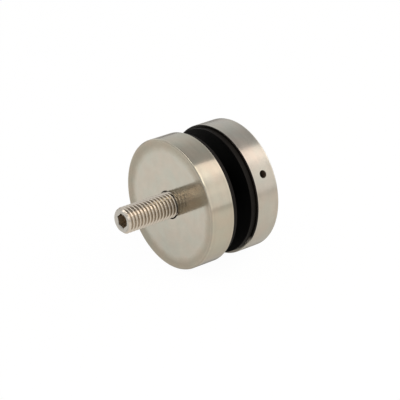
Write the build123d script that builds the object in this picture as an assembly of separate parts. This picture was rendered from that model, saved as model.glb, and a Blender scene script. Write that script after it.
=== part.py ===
from build123d import *
from math import radians, tan
import os

# Glass panel standoff: two turned steel discs on one set screw hold a glass panel off a wall.
# Millimetres. The origin is the centre of the wall disc's wall face, +Y runs along the screw
# into the wall, -Y runs through the glass gap to the clamp cap, and +Z is up.

# --- driving dimensions ---
disc_radius = 25.0
wall_disc_thickness = 10.5
face_chamfer = 0.55          # the outer faces' edges
glass_side_chamfer = 0.2     # the edges beside the gaskets

screw_radius = 5.0           # M10, the thread's crests
plain_inset = 0.16           # inside the discs and the bush the thread is drawn plain, just under its crests
thread_pitch = 1.5
screw_projection = 22.0      # free thread beyond the wall face
screw_end_chamfer = 0.85
cap_engagement = 6.5         # thread inside the clamp cap, with the cap home

socket_across_flats = 5.0
socket_depth = 5.0
socket_turn = 14.6           # degrees from +Z towards +X, to one corner

glass_gap = 7.0              # between the gaskets, with the cap home
gasket_thickness = 2.0
gasket_inset = 1.0           # the gasket's rim lies this far inside the discs' rims

bush_wall = 2.7
bush_end_chamfer = 0.5
bush_stop_gap = 0.3          # between the bush and the cap, with the cap home

cap_bore_run_out = 1.5       # past the screw's end
cap_cover = 2.5              # solid steel behind the blind bore
bore_floor_chamfer = 0.4
mouth_chamfer = 0.5          # countersinks where the screw enters a disc

spanner_hole_radius = 1.5
spanner_hole_depth = 6.0
spanner_hole_tilt = 60.6     # degrees from +Z towards -X
spanner_hole_chamfer = 0.2
drill_point_angle = 118.0

# --- clearances ---
thread_fit = 0.05            # radial, a disc's bore on the screw
bush_fit = 0.3               # radial, the bush on the screw
gasket_fit = 0.3             # radial, a gasket's hole on the bush

# --- derived places along Y ---
wall_disc_end = -wall_disc_thickness
glass_wall_side = wall_disc_end - gasket_thickness
glass_cap_side = glass_wall_side - glass_gap
cap_start = glass_cap_side - gasket_thickness
cap_thickness = cap_engagement + cap_bore_run_out + cap_cover
cap_end = cap_start - cap_thickness
screw_inner_end = cap_start - cap_engagement
bush_end = cap_start + bush_stop_gap

# --- derived sizes ---
plain_radius = screw_radius - plain_inset
thread_bore_radius = screw_radius + thread_fit
bush_bore_radius = screw_radius + bush_fit
bush_radius = bush_bore_radius + bush_wall
gasket_radius = disc_radius - gasket_inset
gasket_bore_radius = bush_radius + gasket_fit

# The thread's depth is that of the ISO metric form, and its crests and roots are drawn sharp.
thread_depth = 0.6134 * thread_pitch
root_radius = screw_radius - thread_depth


def turned(profile):
    """Turn a closed outline of (radius, place along Y) points about the screw's axis."""
    return revolve(make_face(Polyline(*profile, close=True)), axis=Axis.Y)


def drill_point(radius):
    """The cone that a drill leaves at the floor of its hole, point up, with its base at the origin."""
    half_angle = drill_point_angle / 2
    height = radius / tan(radians(half_angle))
    return Cone(radius, 0, height, align=(Align.CENTER, Align.CENTER, Align.MIN))


def socket():
    """Hexagon socket for a key, cut from the screw's wall end, with a drilled floor."""
    mouth = Plane(origin=(0, screw_projection, 0), x_dir=(0, 0, 1), z_dir=(0, 1, 0))
    flat_radius = socket_across_flats / 2
    hexagon = RegularPolygon(flat_radius, 6, major_radius=False, rotation=socket_turn)
    prism = extrude(mouth * hexagon, amount=-socket_depth)
    floor = Plane(origin=(0, screw_projection - socket_depth, 0), z_dir=(0, -1, 0))
    return prism + floor * drill_point(flat_radius)


def thread_groove(start):
    """The outline of one V groove of the thread, from its root to the crest beyond it."""
    return [
        (root_radius, start + thread_pitch / 2),
        (screw_radius, start + thread_pitch),
    ]


def set_screw():
    """Set screw, threaded from the wall face to its wall end, with each turn drawn as a ring groove."""
    threaded_end = screw_projection - screw_end_chamfer
    turns = int(threaded_end / thread_pitch)
    end_land = (threaded_end - turns * thread_pitch) / 2
    outline = [
        (0, screw_inner_end),
        (plain_radius - screw_end_chamfer, screw_inner_end),
        (plain_radius, screw_inner_end + screw_end_chamfer),
        (plain_radius, -thread_pitch),
        *thread_groove(-thread_pitch),
        (screw_radius, end_land),
    ]
    for turn in range(turns):
        outline += thread_groove(end_land + turn * thread_pitch)
    outline += [
        (screw_radius, threaded_end),
        (screw_radius - screw_end_chamfer, screw_projection),
        (0, screw_projection),
    ]
    return turned(outline) - socket()


def wall_disc():
    """Disc against the wall, threaded right through, with both mouths countersunk."""
    return turned([
        (thread_bore_radius, wall_disc_end + mouth_chamfer),
        (thread_bore_radius + mouth_chamfer, wall_disc_end),
        (disc_radius - glass_side_chamfer, wall_disc_end),
        (disc_radius, wall_disc_end + glass_side_chamfer),
        (disc_radius, -face_chamfer),
        (disc_radius - face_chamfer, 0),
        (thread_bore_radius + mouth_chamfer, 0),
        (thread_bore_radius, -mouth_chamfer),
    ])


def gasket(near_wall):
    """Rubber ring, cut flat from sheet, from near_wall towards the cap."""
    far_side = near_wall - gasket_thickness
    return turned([
        (gasket_bore_radius, far_side),
        (gasket_radius, far_side),
        (gasket_radius, near_wall),
        (gasket_bore_radius, near_wall),
    ])


def glass_bush():
    """Distance bush round the screw, from the wall disc through both gaskets to short of the cap."""
    return turned([
        (bush_bore_radius, bush_end),
        (bush_radius - bush_end_chamfer, bush_end),
        (bush_radius, bush_end + bush_end_chamfer),
        (bush_radius, wall_disc_end - bush_end_chamfer),
        (bush_radius - bush_end_chamfer, wall_disc_end),
        (bush_bore_radius, wall_disc_end),
    ])


def spanner_hole():
    """Blind radial hole in the cap's rim for a pin spanner, with a broken edge and a drilled floor."""
    middle = (cap_start + cap_end) / 2
    outward = Vector(0, 0, 1).rotate(Axis.Y, -spanner_hole_tilt)
    floor = Plane(origin=outward * (disc_radius - spanner_hole_depth) + Vector(0, middle, 0), z_dir=outward)
    mouth = Plane(origin=outward * disc_radius + Vector(0, middle, 0), z_dir=outward)
    drilled = Cylinder(
        spanner_hole_radius,
        spanner_hole_depth + mouth_chamfer,
        align=(Align.CENTER, Align.CENTER, Align.MIN),
    )
    broken_edge = Cone(
        spanner_hole_radius,
        spanner_hole_radius + 2 * spanner_hole_chamfer,
        2 * spanner_hole_chamfer,
    )
    point = Plane(origin=floor.origin, z_dir=-outward) * drill_point(spanner_hole_radius)
    return floor * drilled + mouth * broken_edge + point


def clamp_cap():
    """Disc that clamps the glass: blind threaded from the glass side, plain in front."""
    bore_floor = cap_end + cap_cover
    blank = turned([
        (0, cap_end),
        (disc_radius - face_chamfer, cap_end),
        (disc_radius, cap_end + face_chamfer),
        (disc_radius, cap_start - glass_side_chamfer),
        (disc_radius - glass_side_chamfer, cap_start),
        (thread_bore_radius + mouth_chamfer, cap_start),
        (thread_bore_radius, cap_start - mouth_chamfer),
        (thread_bore_radius, bore_floor + bore_floor_chamfer),
        (thread_bore_radius - bore_floor_chamfer, bore_floor),
        (0, bore_floor),
    ])
    return blank - spanner_hole()


parts = {
    "set_screw": set_screw(),
    "wall_disc": wall_disc(),
    "wall_gasket": gasket(wall_disc_end),
    "glass_bush": glass_bush(),
    "cap_gasket": gasket(glass_cap_side),
    "clamp_cap": clamp_cap(),
}

os.makedirs("parts", exist_ok=True)
for name, solid in parts.items():
    export_step(solid, f"parts/{name}.step")
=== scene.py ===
"""Dresses the glass panel standoff: rolled thread, turned and brushed steel, rubber and nylon."""

import math

import bmesh
import bpy
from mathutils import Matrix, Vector


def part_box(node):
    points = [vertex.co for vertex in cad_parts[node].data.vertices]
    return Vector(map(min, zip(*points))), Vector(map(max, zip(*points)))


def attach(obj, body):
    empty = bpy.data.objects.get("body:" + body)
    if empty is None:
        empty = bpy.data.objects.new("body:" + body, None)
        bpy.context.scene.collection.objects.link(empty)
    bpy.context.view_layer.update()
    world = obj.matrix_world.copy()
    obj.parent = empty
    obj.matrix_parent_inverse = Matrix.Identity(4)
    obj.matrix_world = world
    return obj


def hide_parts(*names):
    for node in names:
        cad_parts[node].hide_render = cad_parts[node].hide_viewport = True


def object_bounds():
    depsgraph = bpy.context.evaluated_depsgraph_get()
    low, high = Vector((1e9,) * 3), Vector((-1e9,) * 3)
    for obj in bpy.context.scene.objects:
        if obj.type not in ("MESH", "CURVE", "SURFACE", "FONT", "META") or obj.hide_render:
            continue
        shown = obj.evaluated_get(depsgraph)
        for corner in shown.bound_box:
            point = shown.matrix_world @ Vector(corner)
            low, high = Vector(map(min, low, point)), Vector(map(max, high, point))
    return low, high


bl_info = {
    "name": "Glass Panel Standoff",
    "version": (1, 0, 0),
    "blender": (4, 5, 0),
    "location": "View3D > Sidebar > Standoff",
    "description": "Rolled thread, turned steel, rubber and nylon for a glass panel standoff",
    "category": "Object",
}

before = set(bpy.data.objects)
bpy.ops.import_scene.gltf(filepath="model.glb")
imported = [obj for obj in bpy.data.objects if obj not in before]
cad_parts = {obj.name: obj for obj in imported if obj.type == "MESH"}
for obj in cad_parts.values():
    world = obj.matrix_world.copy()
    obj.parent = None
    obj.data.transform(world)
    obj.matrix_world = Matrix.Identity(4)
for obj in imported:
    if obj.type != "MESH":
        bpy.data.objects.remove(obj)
CAD_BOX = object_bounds()
SCREW_LOW, SCREW_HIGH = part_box("set_screw")
DISC_LOW, DISC_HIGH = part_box("wall_disc")
CAP_LOW, CAP_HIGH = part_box("clamp_cap")

MM = 0.001
THREAD_CLEARANCE = 0.05 * MM    # radial, between a disc's bore and the screw's crests
DISC_BORE = SCREW_HIGH.x + THREAD_CLEARANCE


# ---------------------------------------------------------------- node maths

class Value:
    """A node socket that Python's operators turn into Math nodes."""

    def __init__(self, nodes, socket):
        self.nodes = nodes
        self.socket = socket

    def __add__(self, other):
        return self.nodes.maths("ADD", self, other)

    def __sub__(self, other):
        return self.nodes.maths("SUBTRACT", self, other)

    def __mul__(self, other):
        return self.nodes.maths("MULTIPLY", self, other)

    def __truediv__(self, other):
        return self.nodes.maths("DIVIDE", self, other)

    def __pow__(self, other):
        return self.nodes.maths("POWER", self, other)

    def __radd__(self, other):
        return self.nodes.maths("ADD", other, self)

    def __rsub__(self, other):
        return self.nodes.maths("SUBTRACT", other, self)

    def __rmul__(self, other):
        return self.nodes.maths("MULTIPLY", other, self)

    def __rtruediv__(self, other):
        return self.nodes.maths("DIVIDE", other, self)


class Nodes:
    """Adds nodes to one tree, for a material, the world or a Geometry Nodes modifier."""

    def __init__(self, tree):
        self.tree = tree

    def add(self, kind, settings=(), inputs=()):
        """A node of that kind, with its settings set first and then its sockets set or linked."""
        node = self.tree.nodes.new(kind)
        for name, setting in dict(settings).items():
            setattr(node, name, setting)
        for name, value in dict(inputs).items():
            self.feed(node.inputs[name], value)
        return node

    def feed(self, socket, value):
        if isinstance(value, Value):
            self.tree.links.new(value.socket, socket)
        else:
            socket.default_value = value

    def value(self, node, output=0):
        return Value(self, node.outputs[output])

    def maths(self, operation, *terms):
        return self.value(self.add("ShaderNodeMath", {"operation": operation}, enumerate(terms)))

    def vector(self, operation, *terms):
        return self.value(self.add("ShaderNodeVectorMath", {"operation": operation}, enumerate(terms)))

    def scaled(self, vector, factor):
        inputs = {"Vector": vector, "Scale": factor}
        return self.value(self.add("ShaderNodeVectorMath", {"operation": "SCALE"}, inputs))

    def combine(self, x, y, z):
        return self.value(self.add("ShaderNodeCombineXYZ", (), {"X": x, "Y": y, "Z": z}))

    def split(self, vector):
        node = self.add("ShaderNodeSeparateXYZ", (), {"Vector": vector})
        return [self.value(node, axis) for axis in "XYZ"]

    def noise(self, vector, scale=1.0, detail=2.0, roughness=0.5):
        inputs = {"Vector": vector, "Scale": scale, "Detail": detail, "Roughness": roughness}
        return self.value(self.add("ShaderNodeTexNoise", (), inputs), "Fac")

    def ease(self, value, low, high, start=0.0, end=1.0):
        """start below low, end above high, and a smooth step between them."""
        inputs = {"Value": value, "From Min": low, "From Max": high, "To Min": start, "To Max": end}
        return self.value(self.add("ShaderNodeMapRange", {"interpolation_type": "SMOOTHSTEP"}, inputs))

    def mix(self, factor, first, second):
        """A colour between first and second."""
        node = self.add("ShaderNodeMix", {"data_type": "RGBA"}, {"Factor": factor})
        for name, value in (("A", first), ("B", second)):
            socket = next(s for s in node.inputs if s.name == name and s.type == "RGBA")
            self.feed(socket, value)
        return Value(self, next(s for s in node.outputs if s.type == "RGBA"))


def opaque(colour):
    return (*colour[:3], 1.0)


# ---------------------------------------------------------------- settings

def length(name, default, description):
    return bpy.props.FloatProperty(
        name=name, default=default, unit="LENGTH", precision=6, description=description)


def angle(name, degrees, description):
    return bpy.props.FloatProperty(
        name=name, default=math.radians(degrees), subtype="ANGLE", description=description)


def shade(name, default, description):
    return bpy.props.FloatVectorProperty(
        name=name, default=default, subtype="COLOR", min=0.0, max=2.0, description=description)


def amount(name, default, description):
    return bpy.props.FloatProperty(name=name, default=default, min=0.0, description=description)


class StandoffThread(bpy.types.PropertyGroup):
    pitch: length("Pitch", 1.5 * MM, "Distance from one thread crest to the next")
    phase: length("Phase", 0.67 * MM, "Place along Y where a crest crosses the top of the screw")
    depth: length("Depth", 0.92 * MM, "Radial depth of the thread's groove")
    crest_inset: length("Crest inset", 0.03 * MM, "How far the crests stay inside the nominal radius")
    end_chamfer: length("End chamfer", 0.85 * MM, "Length of the screw's end chamfers")
    socket_width: length("Socket width", 5.0 * MM, "Across the flats of the key socket")
    socket_depth: length("Socket depth", 5.0 * MM, "Depth of the key socket to its drilled floor")
    dish_radius: length("Dish radius", 3.9 * MM, "Radius of the shallow dish round the key socket")
    dish_slope: angle("Dish slope", 20.0, "Slope of the shallow dish round the key socket")
    socket_turn: angle("Socket turn", 14.6, "Turn of the key socket about the screw, to one corner")
    steps_per_turn: bpy.props.IntProperty(
        name="Steps per turn", default=64, description="Facets round the screw")


class StandoffDisc(bpy.types.PropertyGroup):
    face_edge: length("Face edge", 0.55 * MM, "Radius of the edge round a disc's outer face")
    glass_edge: length("Glass edge", 0.38 * MM, "Radius of the edge round a disc's glass side")
    mouth_break: length("Bore mouth", 0.36 * MM, "Broken edge at the mouth of the wall disc's bore")
    cap_cover: length("Cap cover", 2.5 * MM, "Steel between the cap's blind bore and its outer face")
    hole_radius: length("Spanner hole", 1.5 * MM, "Radius of the spanner hole in the cap's rim")
    hole_depth: length("Hole depth", 6.0 * MM, "Depth of the spanner hole to its drill point")
    hole_tilt: angle("Hole tilt", 60.6, "Place of the spanner hole, from the top towards -X")


class StandoffSteel(bpy.types.PropertyGroup):
    wall_colour: shade("Wall disc", (0.505, 0.466, 0.388), "Steel colour of the wall disc")
    cap_colour: shade("Clamp cap", (0.520, 0.485, 0.430), "Steel colour of the clamp cap")
    face_colour: shade("Ground faces", (0.545, 0.520, 0.465), "Steel colour of the discs' outer faces")
    screw_colour: shade("Screw", (0.620, 0.560, 0.485), "Steel colour of the screw")
    # Painted shade: dark brown inside the spanner hole.
    hole_shade_colour: shade("Spanner hole", (0.075, 0.052, 0.036), "Colour inside the spanner hole")
    # Painted shade: near black in the bores and round their mouths.
    bore_shade_colour: shade("Bore", (0.004, 0.003, 0.002), "Colour inside the threaded bores")
    end_colour: shade("Screw end", (0.505, 0.490, 0.460), "Steel colour of the screw's end face")
    # Painted shade: darker, browner steel inside the key socket.
    socket_shade_colour: shade("Key socket", (0.460, 0.385, 0.295), "Steel colour inside the key socket")
    wall_roughness: amount("Wall disc roughness", 0.15, "Roughness of the wall disc's turned faces")
    cap_roughness: amount("Clamp cap roughness", 0.23, "Roughness of the clamp cap's turned faces")
    # Painted shade beside the gaskets: how far it reaches onto each disc's rim.
    wall_gap_shade: length("Wall disc rub", 0.32 * MM, "Reach of the rubber's mark onto the wall disc's rim")
    cap_gap_shade: length("Clamp cap rub", 0.58 * MM, "Reach of the rubber's mark onto the clamp cap's rim")
    brushing: amount("Brushing", 0.35, "How far the turning lines lean the surface")
    lines: amount("Lines per mm", 7.0, "Turning lines to the millimetre")


class StandoffDark(bpy.types.PropertyGroup):
    # The gaskets' sides are painted near black as shade in the gap; their rims are lighter.
    shaded_rubber_colour: shade("Rubber", (0.0010, 0.0010, 0.0010), "Colour of the gaskets' sides")
    rubber_rim_colour: shade("Rubber rim", (0.0076, 0.0066, 0.0058), "Colour of the gaskets' dusty rims")
    # The bush is black nylon, painted near black as shade in the gap.
    shaded_nylon_colour: shade("Nylon", (0.0010, 0.0010, 0.0010), "Colour of the bush")


class StandoffStage(bpy.types.PropertyGroup):
    camera_azimuth: angle("Camera azimuth", 230.445, "Direction of the camera round the object")
    camera_elevation: angle("Camera elevation", 24.974, "Height of the camera above the horizon")
    camera_distance: length("Camera distance", 0.65974, "From the aim to the camera")
    camera_aim: bpy.props.FloatVectorProperty(
        name="Camera aim", default=(-0.006737, -0.009337, 0.001613), subtype="TRANSLATION", precision=6,
        description="The point at the middle of the view")
    camera_lens: bpy.props.FloatProperty(
        name="Lens", default=161.25, description="Focal length in millimetres")
    floor_size: length("Floor size", 6.0, "Side of the floor")


# ---------------------------------------------------------------- finishes

# Places and distances in a finish are in millimetres: they come from spot, which is Object
# coordinates divided by MM. In ease(), the first two numbers are where a change starts and ends.

EDGE_TINT = (0.8, 0.8, 0.8, 1.0)        # steel seen along its surface
REDDER = (1.025, 0.99, 0.97, 1.0)       # the two ends of the steel's faint stains
GREENER = (0.97, 1.01, 1.005, 1.0)
YELLOWED = (1.0, 0.955, 0.885)          # dull edge band of an outer face, partly painted shade
LINE_BREAKS = 1.6                       # how soon a turning line ends, going round
TOOL_RINGS = 1.3                        # tool rings to the millimetre, on an outer face
ROOT_SHADE_TONE = 0.79                        # shares of the screw's colour, in the roots as painted shade
CREST_TONE = 1.02                       # and on its crests


def new_material(name):
    material = bpy.data.materials.new(name)
    material.use_nodes = True
    material.node_tree.nodes.clear()
    return material, Nodes(material.node_tree)


def finish_material(nodes, inputs):
    shader = nodes.add("ShaderNodeBsdfPrincipled", (), inputs)
    nodes.add("ShaderNodeOutputMaterial", (), {"Surface": nodes.value(shader)})


def brushed(nodes, place, parts, radius, lines, lean):
    """The surface's normal, leaned at random across the turning lines that run round the Y axis."""
    x, y, z = parts
    line = nodes.noise(
        nodes.combine((radius + y) * lines, x / radius * LINE_BREAKS, z / radius * LINE_BREAKS),
        detail=3.0, roughness=0.7)
    normal = nodes.value(place, "Normal")
    around = nodes.combine(z / radius, 0.0, x / radius * -1.0)
    across = nodes.vector("CROSS_PRODUCT", normal, around)
    leaned = nodes.vector("ADD", normal, nodes.scaled(across, (line - 0.5) * lean))
    turned = nodes.add(
        "ShaderNodeVectorTransform",
        {"vector_type": "NORMAL", "convert_from": "OBJECT", "convert_to": "WORLD"},
        {"Vector": leaned})
    return nodes.value(turned), line


def dull_shaded_edge(nodes, x, z, past_rim, mottle):
    """How dull and dark an outer face is: along its edge, further in low down and on the +X side.
    Along the edge this is the face's own finish; the reach further in low down is painted shade.
    """
    further_in = (mottle - 0.5) * 3.0
    further_in = further_in + nodes.ease(z, -20.0, -10.0, 0.6, 0.0) + nodes.ease(x, -5.0, 15.0)
    cleaner_rim = nodes.ease(past_rim, -1.3, -0.9, 1.0, 0.85)
    return nodes.ease(past_rim + further_in, -5.0, -1.4) * cleaner_rim


def gasket_gap_shade(nodes, x, z, from_glass, gap_shade_reach):
    """How black the painted shade beside the gasket makes the glass side and the rim strip next to it.

    The strip is narrower on the +X side, and low down there is none.
    """
    reach = nodes.ease(x, -25.0, 3.0, gap_shade_reach / MM, gap_shade_reach / MM * 0.3)
    return nodes.ease(from_glass / reach, 0.75, 1.15, 1.0, 0.0) * nodes.ease(z, -17.0, -11.0)


def turned_steel(
        name, colour, roughness, steel, outer_face, glass_side, rim, gap_shade_reach, blind=False):
    """Steel turned about the Y axis.

    Fine lines run round it. Its outer face is ground a little brighter than the rim, and is duller
    and yellower along its edge, with faint tool rings. That edge band is the face's own dull finish,
    and where it reaches further in low down it is painted shade; it also reaches further in on the +X
    side. The corner between face and rim has painted light: lighter on +X, darker on -X. The rim has
    a painted highlight along both edges, and is a little darker in a strip inside them. Painted shade
    blackens the glass side and a little of the rim beside the gasket. The bore and its mouth are
    painted black as shade, and a blind bore doesn't reach the outer face. The spanner hole is painted
    dark brown as shade.
    """
    material, nodes = new_material(name)
    place = nodes.add("ShaderNodeTexCoord")
    spot = nodes.scaled(nodes.value(place, "Object"), 1.0 / MM)
    parts = nodes.split(spot)
    x, y, z = parts
    radius = (x * x + z * z) ** 0.5
    past_rim = radius - rim / MM
    past_bore = radius - DISC_BORE / MM
    from_face = nodes.maths("ABSOLUTE", y - outer_face / MM)
    from_glass = nodes.maths("ABSOLUTE", y - glass_side / MM)
    from_edge = nodes.maths("MINIMUM", from_face, from_glass)
    from_middle = nodes.maths("ABSOLUTE", y - (outer_face + glass_side) / 2.0 / MM)

    on_face = nodes.ease(from_face, 0.05, 0.4, 1.0, 0.0)
    on_rim = 1.0 - on_face
    on_corner = nodes.ease(past_rim, -0.6, -0.4) * nodes.ease(from_face, 0.5, 0.65, 1.0, 0.0)
    in_hole = nodes.ease(past_rim, -0.35, -0.1, 1.0, 0.0) * nodes.ease(from_middle, 2.0, 2.4, 1.0, 0.0)
    # Painted shade: black in the bore and round its mouth.
    painted_black = nodes.ease(past_bore, 0.38, 0.5, 1.0, 0.0)
    if blind:
        painted_black = painted_black * on_rim
    # The painted shade beside the gasket joins the painted black.
    painted_black = nodes.maths("MAXIMUM", painted_black, gasket_gap_shade(nodes, x, z, from_glass, gap_shade_reach))

    lean = steel.brushing * (1.0 - on_face * 0.4)
    normal, line = brushed(nodes, place, parts, radius, steel.lines, lean)
    mottle = nodes.noise(spot, scale=0.22, detail=3.0, roughness=0.55)
    stain = nodes.noise(nodes.combine(z, x, y), scale=0.13, detail=2.0)
    rings = nodes.noise(nodes.combine(radius * TOOL_RINGS, 0.0, 0.0), detail=2.0)

    # The face's own dull edge finish, with painted shade where it reaches further in low down.
    dull_and_shade = on_face * dull_shaded_edge(nodes, x, z, past_rim, mottle)
    dulling_and_shade = 0.27 + nodes.ease(x, 4.0, 20.0, 0.0, 0.07)
    # The rim is a little darker in a strip inside both edges.
    rim_edge_darkening = on_rim * nodes.ease(from_edge, 0.6, 2.8, 0.05, 0.0)
    # Painted highlight along both edges of the rim.
    edge_highlight = on_rim * nodes.ease(from_edge, 0.5, 1.2, 0.12, 0.0)
    # Painted light on the corner between face and rim: lighter on +X, darker on -X.
    corner_light_and_shade = on_corner * nodes.ease(x, -5.0, 10.0, 0.10, -0.25)
    ring_shade = on_face * nodes.ease(z, -12.0, -2.0, 0.12, 0.05) * (rings - 0.5)
    mottle_shade = (mottle - 0.5) * 0.16
    line_shade = (line - 0.5) * 0.12
    tone = 1.0 + mottle_shade + ring_shade + line_shade
    tone = tone * (1.0 - dull_and_shade * dulling_and_shade) * (1.0 - rim_edge_darkening) * (1.0 + edge_highlight) * (1.0 - corner_light_and_shade)

    lighter = nodes.scaled(nodes.mix(on_face, opaque(colour), opaque(steel.face_colour)), tone)
    lighter = nodes.vector("MULTIPLY", lighter, nodes.mix(nodes.ease(stain, 0.3, 0.7), REDDER, GREENER))
    bright = nodes.mix(dull_and_shade, lighter, nodes.vector("MULTIPLY", lighter, YELLOWED))
    # Painted shade: dark brown inside the spanner hole.
    dark = nodes.mix(in_hole, bright, opaque(steel.hole_shade_colour))
    waves = nodes.add(
        "ShaderNodeBump", (),
        {"Strength": 0.5, "Distance": 0.02 * MM, "Height": mottle + rings * 0.5, "Normal": normal})
    finish_material(nodes, {
        "Base Color": nodes.mix(painted_black, dark, opaque(steel.bore_shade_colour)),
        "Metallic": (1.0 - in_hole) * (1.0 - painted_black) * (1.0 - dull_and_shade * 0.2),
        "Roughness": roughness - on_face * 0.05 + (mottle - 0.5) * 0.06 + dull_and_shade * 0.06 + in_hole * 0.4,
        "Specular IOR Level": 0.15,
        "Specular Tint": EDGE_TINT,
        "Normal": nodes.value(waves),
    })
    return material


def rolled_steel(name, colour, steel, root_radius, crest_radius):
    """Rolled thread steel: polished crests, and rougher roots painted darker as shade.

    The end face has a colour of its own. The key socket is painted darker and browner as shade in
    its recess. Near the wall disc the thread has painted shade on its -X side.
    """
    material, nodes = new_material(name)
    place = nodes.add("ShaderNodeTexCoord")
    spot = nodes.scaled(nodes.value(place, "Object"), 1.0 / MM)
    x, y, z = nodes.split(spot)
    radius = (x * x + z * z) ** 0.5
    past_root = radius - root_radius / MM
    past_crest = radius - crest_radius / MM
    past_end = y - SCREW_HIGH.y / MM

    height = nodes.ease(radius, root_radius / MM, crest_radius / MM - 0.25)
    on_end = nodes.ease(past_end, -0.65, -0.55) * nodes.ease(past_crest, -0.8, -0.65, 1.0, 0.0)
    in_socket = nodes.ease(past_root, -0.3, -0.2, 1.0, 0.0) * (1.0 - on_end)
    # Painted shade on the thread's -X side near the wall disc.
    shaded_side = nodes.ease(x, -2.9, -1.9, 1.0, 0.0) * nodes.ease(z, -2.0, -0.5)
    side_shade = shaded_side * nodes.ease(y, 0.5, 9.0, 0.22, 0.0)

    tint = nodes.mix(on_end, opaque(colour), opaque(steel.end_colour))
    # Painted shade: darker, browner steel in the key socket.
    tint = nodes.mix(in_socket, tint, opaque(steel.socket_shade_colour))
    speckle = nodes.noise(spot, scale=3.0, detail=4.0, roughness=0.6)
    lighter = nodes.maths("MAXIMUM", height, nodes.maths("MAXIMUM", on_end, in_socket))
    speckle_shade = (speckle - 0.5) * 0.10
    # Painted shade darkens the thread's roots.
    tone = ROOT_SHADE_TONE + lighter * (CREST_TONE - ROOT_SHADE_TONE) + speckle_shade
    tone = tone * (1.0 - side_shade)
    bumps = nodes.add(
        "ShaderNodeBump", (), {"Strength": 0.3, "Distance": 0.01 * MM, "Height": speckle})
    finish_material(nodes, {
        "Base Color": nodes.scaled(tint, tone),
        "Metallic": 1.0,
        "Roughness": 0.20 - height * 0.03 + (speckle - 0.5) * 0.05 + in_socket * 0.25,
        "Specular Tint": EDGE_TINT,
        "Normal": nodes.value(bumps),
    })
    return material


def dark_polymer(name, colour, rim_colour, rim, roughness, grain):
    """Pebbled matt black rubber or nylon, rim_colour round its rim; darker gasket sides are painted
    shade.
    """
    material, nodes = new_material(name)
    place = nodes.add("ShaderNodeTexCoord")
    spot = nodes.scaled(nodes.value(place, "Object"), 1.0 / MM)
    x, _, z = nodes.split(spot)
    past_rim = (x * x + z * z) ** 0.5 - rim / MM
    rim_band = nodes.ease(past_rim, -0.3, -0.1)
    pebbles = nodes.noise(spot, scale=grain, detail=4.0, roughness=0.6)
    patches = nodes.noise(spot, scale=0.25, detail=2.0)
    tint = nodes.mix(rim_band, opaque(colour), opaque(rim_colour))
    bumps = nodes.add(
        "ShaderNodeBump", (), {"Strength": 0.4, "Distance": 0.02 * MM, "Height": pebbles})
    finish_material(nodes, {
        "Base Color": nodes.scaled(tint, 1.0 + (patches - 0.5) * 0.5),
        "Roughness": roughness + (pebbles - 0.5) * 0.15,
        "Specular IOR Level": 0.09,
        "Normal": nodes.value(bumps),
    })
    return material


def give(node_name, material):
    """Assign a material to a CAD node in place of its plain one."""
    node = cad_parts[node_name]
    for material_slot in node.material_slots:
        material_slot.material = material


# ---------------------------------------------------------------- meshes

SLIVER = 0.0005 * MM                      # faces narrower than this are dropped
DRILL_HALF_ANGLE = math.radians(59.0)     # of the cone that a drill leaves
CLEAR = 1.0 * MM                          # how far a cut starts outside the surface


def baked(holder):
    """Replace an object's mesh by what its modifiers make of it, and remove them."""
    bpy.context.view_layer.update()
    evaluated = holder.evaluated_get(bpy.context.evaluated_depsgraph_get())
    mesh = bpy.data.meshes.new_from_object(evaluated)
    holder.modifiers.clear()
    plain = holder.data
    holder.data = mesh
    bpy.data.meshes.remove(plain)
    mesh.name = holder.name
    return holder


def facing_out(holder):
    """Drop what is left of squeezed faces and turn the others outwards."""
    mesh = bmesh.new()
    mesh.from_mesh(holder.data)
    bmesh.ops.dissolve_degenerate(mesh, edges=mesh.edges, dist=SLIVER)
    bmesh.ops.recalc_face_normals(mesh, faces=mesh.faces)
    mesh.to_mesh(holder.data)
    mesh.free()
    return holder


def space(name, mesh):
    """An object that holds the space a cut takes away."""
    bmesh.ops.recalc_face_normals(mesh, faces=mesh.faces)
    data = bpy.data.meshes.new(name)
    mesh.to_mesh(data)
    mesh.free()
    holder = bpy.data.objects.new(name, data)
    bpy.context.scene.collection.objects.link(holder)
    return holder


def ring(mesh, radius, place, sides, turn):
    """Points round the Y axis, from +Z towards +X."""
    turns = [turn + side * math.tau / sides for side in range(sides)]
    return [mesh.verts.new((radius * math.sin(t), place, radius * math.cos(t))) for t in turns]


def pointed(mesh, rings, tip):
    """Close a stack of rings with a flat face at its start and a cone to a point at its end."""
    mesh.faces.new(rings[0])
    sides = len(rings[0])
    for near, far in zip(rings, rings[1:]):
        for side in range(sides):
            after = (side + 1) % sides
            mesh.faces.new((near[side], near[after], far[after], far[side]))
    point = mesh.verts.new((0.0, tip, 0.0))
    for side in range(sides):
        mesh.faces.new((rings[-1][side], rings[-1][(side + 1) % sides], point))


def cut(holder, cutter):
    """Take the cutter's space out of a piece."""
    modifier = holder.modifiers.new("cut", "BOOLEAN")
    modifier.operation = "DIFFERENCE"
    modifier.solver = "EXACT"
    modifier.object = cutter
    baked(holder)
    bpy.data.objects.remove(cutter)
    return holder


def smoothed(holder, sharp_degrees):
    """Smooth shading, broken at the sharp edges."""
    holder.data.shade_smooth()
    holder.data.set_sharp_from_angle(angle=math.radians(sharp_degrees))
    return holder


def in_one_material(holder, material):
    """Give every face of a piece the one material, the filled and cut ones too."""
    holder.data.materials.clear()
    holder.data.materials.append(material)
    for face in holder.data.polygons:
        face.material_index = 0
    return holder


# ---------------------------------------------------------------- screw

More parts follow.
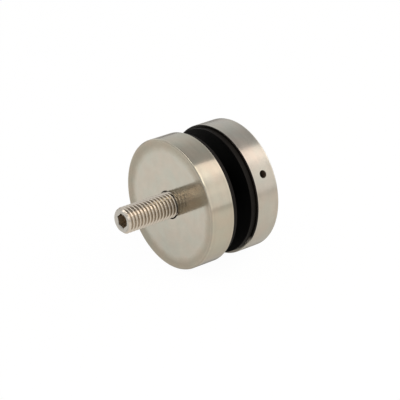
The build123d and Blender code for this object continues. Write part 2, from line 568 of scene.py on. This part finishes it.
THREAD_SOCKETS = (
    ("Crest Radius", "NodeSocketFloat"),
    ("Depth", "NodeSocketFloat"),
    ("Pitch", "NodeSocketFloat"),
    ("Phase", "NodeSocketFloat"),
    ("Start", "NodeSocketFloat"),
    ("End", "NodeSocketFloat"),
    ("End Radius", "NodeSocketFloat"),
    ("Turns", "NodeSocketFloat"),
    ("Rows", "NodeSocketInt"),
    ("Columns", "NodeSocketInt"),
    ("Finish", "NodeSocketMaterial"),
)
ROWS_PER_TURN = 20    # points across one turn of the thread's section
CREST_SHARE = 0.10    # half a crest, as a share of the pitch
FLANK_SHARE = 0.28    # a flank, as a share of the pitch
ROUNDING = 0.30       # of the crest's and the root's corners, as a share of the depth
LEAD_IN = 2.5         # turns of the grid that lie before the screw's start
SPARE_TURNS = 3       # turns of the grid past the screw's length, for both ends
WELD = 0.002 * MM     # points nearer than this are one


def thread_tree():
    """Node tree that wraps a grid round the Y axis as one right-handed thread with chamfered ends.

    A grid row lies along the helix. Across the rows the radius follows the thread's section: half a
    crest, a flank and half a root on each side of the crest's middle, with rounded corners. The phase
    is where a crest crosses the top of the screw. Past each end the first point of a column stays on
    the end's rim and the others draw in to its centre, which closes the end.
    """
    tree = bpy.data.node_groups.new("thread_rule", "GeometryNodeTree")
    tree.interface.new_socket("Geometry", in_out="INPUT", socket_type="NodeSocketGeometry")
    tree.interface.new_socket("Geometry", in_out="OUTPUT", socket_type="NodeSocketGeometry")
    for name, kind in THREAD_SOCKETS:
        tree.interface.new_socket(name, in_out="INPUT", socket_type=kind)
    nodes = Nodes(tree)
    group = nodes.add("NodeGroupInput")
    crest, depth, pitch, phase, start, end, end_radius, turns, rows, columns, finish = (
        nodes.value(group, name) for name, _ in THREAD_SOCKETS)
    grid = nodes.add("GeometryNodeMeshGrid", (), {
        "Size X": 1.0, "Size Y": 1.0, "Vertices X": rows, "Vertices Y": columns})
    along, around, _ = nodes.split(nodes.value(nodes.add("GeometryNodeInputPosition")))
    along = (along + 0.5) * turns
    around = around + 0.5
    from_crest = nodes.maths("ABSOLUTE", nodes.maths("FRACT", along) - 0.5)
    drop = (from_crest - CREST_SHARE) / FLANK_SHARE
    drop = nodes.maths("SMOOTH_MIN", nodes.maths("SMOOTH_MAX", drop, 0.0, ROUNDING), 1.0, ROUNDING)
    lead = nodes.maths("WRAP", phase - start, pitch, 0.0)
    free_place = pitch * (along + around - LEAD_IN) + start + lead
    place = nodes.maths("MAXIMUM", nodes.maths("MINIMUM", free_place, end), start)
    from_end = nodes.maths("MINIMUM", end - place, place - start)
    radius = nodes.maths("MINIMUM", crest - depth * drop, end_radius + from_end)
    beyond = nodes.maths("ABSOLUTE", free_place - place)
    radius = radius * nodes.maths("LESS_THAN", beyond, pitch / ROWS_PER_TURN)
    turn = around * math.tau
    spot = nodes.combine(
        radius * nodes.maths("SINE", turn), place, radius * nodes.maths("COSINE", turn))
    moved = nodes.add("GeometryNodeSetPosition", (), {"Geometry": nodes.value(grid), "Position": spot})
    welded = nodes.add(
        "GeometryNodeMergeByDistance", (), {"Geometry": nodes.value(moved), "Distance": WELD})
    real = nodes.add("GeometryNodeRealizeInstances", (), {"Geometry": nodes.value(welded)})
    dressed = nodes.add(
        "GeometryNodeSetMaterial", (), {"Geometry": nodes.value(real), "Material": finish})
    nodes.add("NodeGroupOutput", (), {"Geometry": nodes.value(dressed)})
    return tree


def grown(name, tree, settings):
    """A plain mesh object made by a Geometry Nodes tree, with the tree's inputs set by their names."""
    holder = bpy.data.objects.new(name, bpy.data.meshes.new(name))
    bpy.context.scene.collection.objects.link(holder)
    modifier = holder.modifiers.new("rule", "NODES")
    modifier.node_group = tree
    for item in tree.interface.items_tree:
        if item.item_type == "SOCKET" and item.in_out == "INPUT" and item.name in settings:
            modifier[item.identifier] = settings[item.name]
    return baked(holder)


DISH_SIDES = 64          # facets round the dish
DISH_PROUD = 0.5 * MM    # how far the dish's cone is carried on past its rim
SCREW_SHARP = 38.0       # degrees between faces, past which an edge of the screw is sharp


def key_space(thread, mouth):
    """The hexagon key's space along Y, with the drilled cone at its floor."""
    corner = thread.socket_width / math.sqrt(3.0)
    floor = mouth - thread.socket_depth
    tip = floor - corner / math.tan(DRILL_HALF_ANGLE)
    mesh = bmesh.new()
    rings = [ring(mesh, corner, place, 6, thread.socket_turn) for place in (mouth + CLEAR, floor)]
    pointed(mesh, rings, tip)
    return space("key_space", mesh)


def dish_space(thread, mouth):
    """The shallow dish round the key socket's mouth."""
    mesh = bmesh.new()
    slope = math.tan(thread.dish_slope)
    rim = ring(mesh, thread.dish_radius + DISH_PROUD, mouth + DISH_PROUD * slope, DISH_SIDES, 0.0)
    pointed(mesh, [rim], mouth - thread.dish_radius * slope)
    return space("dish_space", mesh)


class STANDOFF_OT_screw(bpy.types.Operator):
    """Build the rolled set screw with its key socket"""

    bl_idname = "standoff.screw"
    bl_label = "Set screw"

    def execute(self, context):
        thread = context.scene.standoff_thread
        steel = context.scene.standoff_steel
        crest = SCREW_HIGH.x - thread.crest_inset
        length_in_turns = (SCREW_HIGH.y - SCREW_LOW.y) / thread.pitch
        turns = math.ceil(length_in_turns) + SPARE_TURNS
        material = rolled_steel(
            "rolled_steel", steel.screw_colour, steel, crest - thread.depth, crest)
        screw = grown("threaded_screw", thread_tree(), {
            "Crest Radius": crest,
            "Depth": thread.depth,
            "Pitch": thread.pitch,
            "Phase": thread.phase,
            "Start": SCREW_LOW.y,
            "End": SCREW_HIGH.y,
            "End Radius": SCREW_HIGH.x - thread.end_chamfer,
            "Turns": float(turns),
            "Rows": turns * ROWS_PER_TURN + 1,
            "Columns": thread.steps_per_turn + 1,
            "Finish": material,
        })
        facing_out(screw)
        cut(screw, key_space(thread, SCREW_HIGH.y))
        cut(screw, dish_space(thread, SCREW_HIGH.y))
        smoothed(screw, SCREW_SHARP)
        in_one_material(screw, material)
        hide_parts("set_screw")
        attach(screw, "set_screw")
        return {"FINISHED"}


# ---------------------------------------------------------------- turned discs

SUPPORT = 0.08 * MM    # width of the flat strip kept beside each rounded edge
EDGE_STEPS = 5         # facets across a rounded edge
DISC_SIDES = 288       # facets round a disc
HOLE_SIDES = 40        # facets round the spanner hole
DISC_SHARP = 30.0      # degrees between faces, past which an edge of a disc is sharp


def eased(corners):
    """Outline through (radius, place, edge radius) corners, with each edge turned to its radius."""
    outline = []
    for index, (radius, place, edge) in enumerate(corners):
        here = Vector((radius, place))
        if edge == 0.0:
            outline.append(here)
            continue
        before = (Vector(corners[index - 1][:2]) - here).normalized()
        after = (Vector(corners[(index + 1) % len(corners)][:2]) - here).normalized()
        half = before.angle(after) / 2.0
        middle = here + (before + after).normalized() * (edge / math.sin(half))
        start = here + before * (edge / math.tan(half)) - middle
        end = here + after * (edge / math.tan(half)) - middle
        outline.append(middle + start + before * SUPPORT)
        for step in range(EDGE_STEPS + 1):
            share = step / EDGE_STEPS
            outline.append(middle + (start.lerp(end, share)).normalized() * edge)
        outline.append(middle + end + after * SUPPORT)
    return outline


def turned(name, outline):
    """Turn an outline round the Y axis. One that starts and ends on the axis is closed by its middle."""
    mesh = bmesh.new()
    on_axis = outline[0].x == 0.0
    middles = [mesh.verts.new((0.0, point.y, 0.0)) for point in (outline[0], outline[-1]) if on_axis]
    points = outline[1:-1] if on_axis else outline
    rings = [ring(mesh, point.x, point.y, DISC_SIDES, 0.0) for point in points]
    pairs = list(zip(rings, rings[1:]))
    if not on_axis:
        pairs.append((rings[-1], rings[0]))
    for side in range(DISC_SIDES):
        after = (side + 1) % DISC_SIDES
        for near, far in pairs:
            mesh.faces.new((near[side], near[after], far[after], far[side]))
        if on_axis:
            mesh.faces.new((middles[0], rings[0][after], rings[0][side]))
            mesh.faces.new((middles[1], rings[-1][side], rings[-1][after]))
    return space(name, mesh)


def wall_disc_outline(disc):
    return eased([
        (DISC_BORE, DISC_LOW.y, 0.0),
        (DISC_BORE, DISC_HIGH.y - disc.mouth_break, 0.0),
        (DISC_BORE + disc.mouth_break, DISC_HIGH.y, 0.0),
        (DISC_HIGH.x, DISC_HIGH.y, disc.face_edge),
        (DISC_HIGH.x, DISC_LOW.y, disc.glass_edge),
    ])


def clamp_cap_outline(disc):
    floor = CAP_LOW.y + disc.cap_cover
    return eased([
        (0.0, floor, 0.0),
        (DISC_BORE, floor, 0.0),
        (DISC_BORE, CAP_HIGH.y, 0.0),
        (CAP_HIGH.x, CAP_HIGH.y, disc.glass_edge),
        (CAP_HIGH.x, CAP_LOW.y, disc.face_edge),
        (0.0, CAP_LOW.y, 0.0),
    ])


def spanner_space(disc):
    """The spanner hole's space: a drill with its point inwards, on the rim's middle."""
    mesh = bmesh.new()
    floor = CAP_HIGH.x - disc.hole_depth
    depths = (CAP_HIGH.x + CLEAR, floor)
    rings = [ring(mesh, disc.hole_radius, depth, HOLE_SIDES, 0.0) for depth in depths]
    pointed(mesh, rings, floor - disc.hole_radius / math.tan(DRILL_HALF_ANGLE))
    outwards = Vector((-math.sin(disc.hole_tilt), 0.0, math.cos(disc.hole_tilt)))
    middle = (CAP_LOW.y + CAP_HIGH.y) / 2.0
    aim = outwards.to_track_quat("Y", "X").to_matrix()
    for vertex in mesh.verts:
        vertex.co = aim @ vertex.co + Vector((0.0, middle, 0.0))
    return space("spanner_space", mesh)


class STANDOFF_OT_wall_disc(bpy.types.Operator):
    """Turn the wall disc with its broken edges and its countersunk bore"""

    bl_idname = "standoff.wall_disc"
    bl_label = "Wall disc"

    def execute(self, context):
        disc = context.scene.standoff_disc
        steel = context.scene.standoff_steel
        piece = turned("turned_wall_disc", wall_disc_outline(disc))
        smoothed(piece, DISC_SHARP)
        in_one_material(piece, turned_steel(
            "wall_disc_steel", steel.wall_colour, steel.wall_roughness, steel,
            DISC_HIGH.y, DISC_LOW.y, DISC_HIGH.x, steel.wall_gap_shade))
        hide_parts("wall_disc")
        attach(piece, "wall_disc")
        return {"FINISHED"}


class STANDOFF_OT_clamp_cap(bpy.types.Operator):
    """Turn the clamp cap with its broken edges, blind bore and spanner hole"""

    bl_idname = "standoff.clamp_cap"
    bl_label = "Clamp cap"

    def execute(self, context):
        disc = context.scene.standoff_disc
        steel = context.scene.standoff_steel
        piece = turned("turned_clamp_cap", clamp_cap_outline(disc))
        cut(piece, spanner_space(disc))
        smoothed(piece, DISC_SHARP)
        in_one_material(piece, turned_steel(
            "clamp_cap_steel", steel.cap_colour, steel.cap_roughness, steel,
            CAP_LOW.y, CAP_HIGH.y, CAP_HIGH.x, steel.cap_gap_shade, blind=True))
        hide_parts("clamp_cap")
        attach(piece, "clamp_cap")
        return {"FINISHED"}


# ---------------------------------------------------------------- gaskets and bush

RUBBER_ROUGHNESS, RUBBER_GRAIN = 0.55, 6.0    # the grain is in pebbles to the millimetre
NYLON_ROUGHNESS, NYLON_GRAIN = 0.45, 3.0


class STANDOFF_OT_rubber(bpy.types.Operator):
    """Finish the gaskets as black rubber and the bush as black nylon"""

    bl_idname = "standoff.rubber"
    bl_label = "Gaskets and bush"

    def execute(self, context):
        dark = context.scene.standoff_dark
        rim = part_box("wall_gasket")[1].x
        # The gaskets' sides take painted shade; their rims stay lighter.
        rubber = dark_polymer(
            "gasket_rubber_skin", dark.shaded_rubber_colour, dark.rubber_rim_colour, rim,
            RUBBER_ROUGHNESS, RUBBER_GRAIN)
        give("wall_gasket", rubber)
        give("cap_gasket", rubber)
        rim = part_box("glass_bush")[1].x
        # The bush's near-black colour is painted shade in the gap.
        nylon = dark_polymer(
            "bush_nylon_skin", dark.shaded_nylon_colour, dark.shaded_nylon_colour, rim,
            NYLON_ROUGHNESS, NYLON_GRAIN)
        give("glass_bush", nylon)
        return {"FINISHED"}


# ---------------------------------------------------------------- stage

WHITE = (1.0, 1.0, 1.0, 1.0)
PAPER = (0.95, 0.95, 0.95, 1.0)
NEAR_BACK = (0.85, 0.83, 0.79, 1.0)        # the floor beside the discs, as the steel mirrors it
NEAR_FRONT = (0.905, 0.89, 0.86, 1.0)
FAR_LEFT = (0.66, 0.64, 0.61, 1.0)         # the floor further out, towards -X and towards +X
FAR_RIGHT = (0.53, 0.525, 0.52, 1.0)
SENSOR_WIDTH = 36.0                        # of the camera, in millimetres


def floor_paper():
    """White paper to the camera, with the object's shadow.

    The steel mirrors it duller with distance, and darker beneath the discs, where a shadow is painted.
    Places are in metres.
    """
    material, nodes = new_material("floor_paper")
    path = nodes.add("ShaderNodeLightPath")
    seen = nodes.value(path, "Is Camera Ray")
    mirrored = nodes.maths(
        "MAXIMUM", nodes.value(path, "Is Glossy Ray"), nodes.value(path, "Is Transmission Ray"))
    x, y, _ = nodes.split(nodes.value(nodes.add("ShaderNodeTexCoord"), "Object"))
    distance = (x * x + y * y) ** 0.5
    near = nodes.mix(nodes.ease(x + y, -0.08, 0.08), NEAR_BACK, NEAR_FRONT)
    far = nodes.mix(nodes.ease(x, -0.25, 0.25), FAR_LEFT, FAR_RIGHT)
    shaded_corner = nodes.ease(x - y, 0.12, 0.28, 1.0, 0.72)
    # Painted shadow on the floor beneath the discs, seen only in the steel.
    shadow_beneath = nodes.ease(nodes.maths("ABSOLUTE", x), 0.010, 0.0145, 1.0, 0.0)
    shadow_beneath = shadow_beneath * nodes.ease(y, -0.003, 0.001, 1.0, 0.0)
    mirror = nodes.mix(nodes.ease(distance, 0.15, 0.42), near, far)
    mirror = nodes.scaled(mirror, shaded_corner * (1.0 - shadow_beneath * 0.5))
    paper = nodes.add("ShaderNodeBsdfDiffuse", (), {"Color": nodes.mix(mirrored, PAPER, mirror)})
    white = nodes.add(
        "ShaderNodeEmission", (), {"Color": nodes.mix(mirrored, WHITE, mirror), "Strength": 1.0})
    mixed = nodes.add("ShaderNodeMixShader", (), {
        0: seen * 0.97 + mirrored * 0.6, 1: nodes.value(paper), 2: nodes.value(white)})
    nodes.add("ShaderNodeOutputMaterial", (), {"Surface": nodes.value(mixed)})
    return material


def make_floor(stage):
    """Plain pale floor under the discs."""
    half = stage.floor_size / 2.0
    height = CAD_BOX[0].z
    data = bpy.data.meshes.new("floor")
    sides = ((-half, -half), (half, -half), (half, half), (-half, half))
    corners = [(x, y, height) for x, y in sides]
    data.from_pydata(corners, [], [(0, 1, 2, 3)])
    floor = bpy.data.objects.new("floor", data)
    bpy.context.scene.collection.objects.link(floor)
    data.materials.append(floor_paper())


def make_world():
    """Room light, which is white to the camera.

    In the steel it is pale at the horizon and darker overhead, with a dark gap high up. It is a
    little darker low down on the wall's side, and bright behind the cap.
    """
    world = bpy.data.worlds.new("studio")
    bpy.context.scene.world = world
    world.use_nodes = True
    world.node_tree.nodes.clear()
    nodes = Nodes(world.node_tree)
    _, ahead, height = nodes.split(nodes.value(nodes.add("ShaderNodeTexCoord"), "Generated"))
    room = nodes.ease(height, 0.3, 0.95, 0.84, 0.45)
    wall_side = nodes.ease(ahead, 0.5, 0.85) * nodes.ease(height, 0.2, 0.45, 0.15, 0.0)
    from_gap = nodes.maths("ABSOLUTE", ahead + 0.27)
    gap = nodes.ease(from_gap, 0.14, 0.24, 1.0, 0.0) * nodes.ease(height, 0.7, 0.85, 0.0, 0.75)
    behind_cap = nodes.ease(ahead, -0.9, -0.76, 1.1, 0.0)
    level = room * (1.0 - wall_side) * (1.0 - gap) + behind_cap
    seen = nodes.value(nodes.add("ShaderNodeLightPath"), "Is Camera Ray")
    background = nodes.add(
        "ShaderNodeBackground", (), {"Color": WHITE, "Strength": level + seen * (1.0 - level)})
    nodes.add("ShaderNodeOutputWorld", (), {"Surface": nodes.value(background)})


def make_strip(name, start, end, distance, run, radiance, colour):
    """Strip softbox along Y over its run, between two angles off the vertical towards -X.

    Its radiance is the level at which a mirror shows it, where 1 is white.
    """
    middle = (start + end) / 2.0
    data = bpy.data.lights.new(name, "AREA")
    data.shape = "RECTANGLE"
    data.size = 2.0 * distance * math.tan((end - start) / 2.0)
    data.size_y = run[1] - run[0]
    data.color = colour
    data.energy = math.pi * radiance * data.size * data.size_y
    lamp = bpy.data.objects.new(name, data)
    lamp.location = (-distance * math.sin(middle), sum(run) / 2.0, distance * math.cos(middle))
    lamp.rotation_euler = (0.0, -middle, 0.0)
    lamp.visible_camera = False
    bpy.context.scene.collection.objects.link(lamp)


def make_camera(stage):
    azimuth = stage.camera_azimuth
    elevation = stage.camera_elevation
    back = Vector((
        math.sin(azimuth) * math.cos(elevation),
        -math.cos(azimuth) * math.cos(elevation),
        math.sin(elevation)))
    data = bpy.data.cameras.new("camera")
    data.sensor_width = SENSOR_WIDTH
    data.lens = stage.camera_lens
    camera = bpy.data.objects.new("camera", data)
    camera.location = Vector(stage.camera_aim) + back * stage.camera_distance
    camera.rotation_mode = "QUATERNION"
    camera.rotation_quaternion = (-back).to_track_quat("-Z", "Y")
    bpy.context.scene.collection.objects.link(camera)
    bpy.context.scene.camera = camera


STRIP_DISTANCE = 1.13    # metres from the screw's axis

# Each strip's name, its first and last angle in degrees off the vertical towards -X, its run along
# Y in metres, its radiance and its colour.
STRIPS = (
    ("upper_strip", 10.6, 32.0, (-2.6, -0.60), 1.08, (1.0, 0.87, 0.80)),
    ("fading_strip", 32.0, 36.0, (-2.6, -0.60), 0.95, (1.0, 0.87, 0.80)),
    ("faded_strip", 36.0, 41.0, (-2.6, -0.60), 0.72, (1.0, 0.87, 0.81)),
    ("middle_strip", 41.0, 47.0, (-2.6, -0.60), 0.52, (1.0, 0.87, 0.82)),
    ("thread_strip", 14.0, 50.0, (-0.58, -0.15), 3.1, (1.0, 0.90, 0.78)),
    ("flank_strip", 12.0, 48.0, (-0.15, 0.55), 0.65, (1.0, 0.92, 0.82)),
    ("bright_flank_strip", 16.0, 48.0, (0.15, 0.45), 3.2, (1.0, 0.90, 0.78)),
    ("mirror_strip", 12.0, 48.0, (0.55, 1.1), 0.32, (1.0, 0.90, 0.76)),
    ("low_mirror_strip", 58.0, 82.0, (0.55, 1.1), 0.8, (1.0, 0.90, 0.78)),
    ("tip_strip", 34.0, 68.0, (1.1, 2.0), 0.62, (1.0, 0.94, 0.88)),
    ("side_strip", 47.0, 67.0, (-2.6, 0.55), 0.345, (1.0, 0.86, 0.72)),
    ("low_strip", 67.0, 90.0, (-2.6, 0.55), 0.22, (1.0, 0.86, 0.70)),
    ("overhead", -24.0, 10.0, (0.0, 0.62), 0.35, (1.0, 0.97, 0.93)),
    ("far_overhead", -22.0, 8.0, (0.62, 0.95), 3.2, (1.0, 0.95, 0.88)),
    ("end_overhead", -24.0, 10.0, (1.05, 1.7), 0.3, (1.0, 0.95, 0.88)),
    ("overhead_back", -50.0, -24.0, (-0.1, 0.5), 0.4, (1.0, 0.98, 0.96)),
    ("far_overhead_back", -48.0, -22.0, (0.68, 0.95), 1.6, (1.0, 0.96, 0.92)),
)


class STANDOFF_OT_stage(bpy.types.Operator):
    """Set up the floor, the light and the camera"""

    bl_idname = "standoff.stage"
    bl_label = "Stage"

    def execute(self, context):
        stage = context.scene.standoff_stage
        make_floor(stage)
        make_world()
        for name, first, last, run, radiance, colour in STRIPS:
            start, end = math.radians(first), math.radians(last)
            make_strip(name, start, end, STRIP_DISTANCE, run, radiance, colour)
        make_camera(stage)
        context.scene.view_settings.view_transform = "Standard"
        return {"FINISHED"}


# ---------------------------------------------------------------- add-on

OPERATORS = (
    STANDOFF_OT_stage,
    STANDOFF_OT_screw,
    STANDOFF_OT_wall_disc,
    STANDOFF_OT_clamp_cap,
    STANDOFF_OT_rubber,
)


class STANDOFF_PT_sidebar(bpy.types.Panel):
    """Lists the standoff's operators"""

    bl_idname = "STANDOFF_PT_sidebar"
    bl_label = "Glass panel standoff"
    bl_space_type = "VIEW_3D"
    bl_region_type = "UI"
    bl_category = "Standoff"

    def draw(self, context):
        for operator in OPERATORS:
            self.layout.operator(operator.bl_idname)


SETTINGS = {
    "standoff_thread": StandoffThread,
    "standoff_disc": StandoffDisc,
    "standoff_steel": StandoffSteel,
    "standoff_dark": StandoffDark,
    "standoff_stage": StandoffStage,
}


def register():
    for group in SETTINGS.values():
        bpy.utils.register_class(group)
    for name, group in SETTINGS.items():
        setattr(bpy.types.Scene, name, bpy.props.PointerProperty(type=group))
    for operator in OPERATORS:
        bpy.utils.register_class(operator)
    bpy.utils.register_class(STANDOFF_PT_sidebar)


def unregister():
    bpy.utils.unregister_class(STANDOFF_PT_sidebar)
    for operator in reversed(OPERATORS):
        bpy.utils.unregister_class(operator)
    for name in SETTINGS:
        delattr(bpy.types.Scene, name)
    for group in reversed(list(SETTINGS.values())):
        bpy.utils.unregister_class(group)


def main():
    register()
    bpy.ops.standoff.stage()
    bpy.ops.standoff.screw()
    bpy.ops.standoff.wall_disc()
    bpy.ops.standoff.clamp_cap()
    bpy.ops.standoff.rubber()


if __name__ == "__main__":
    main()
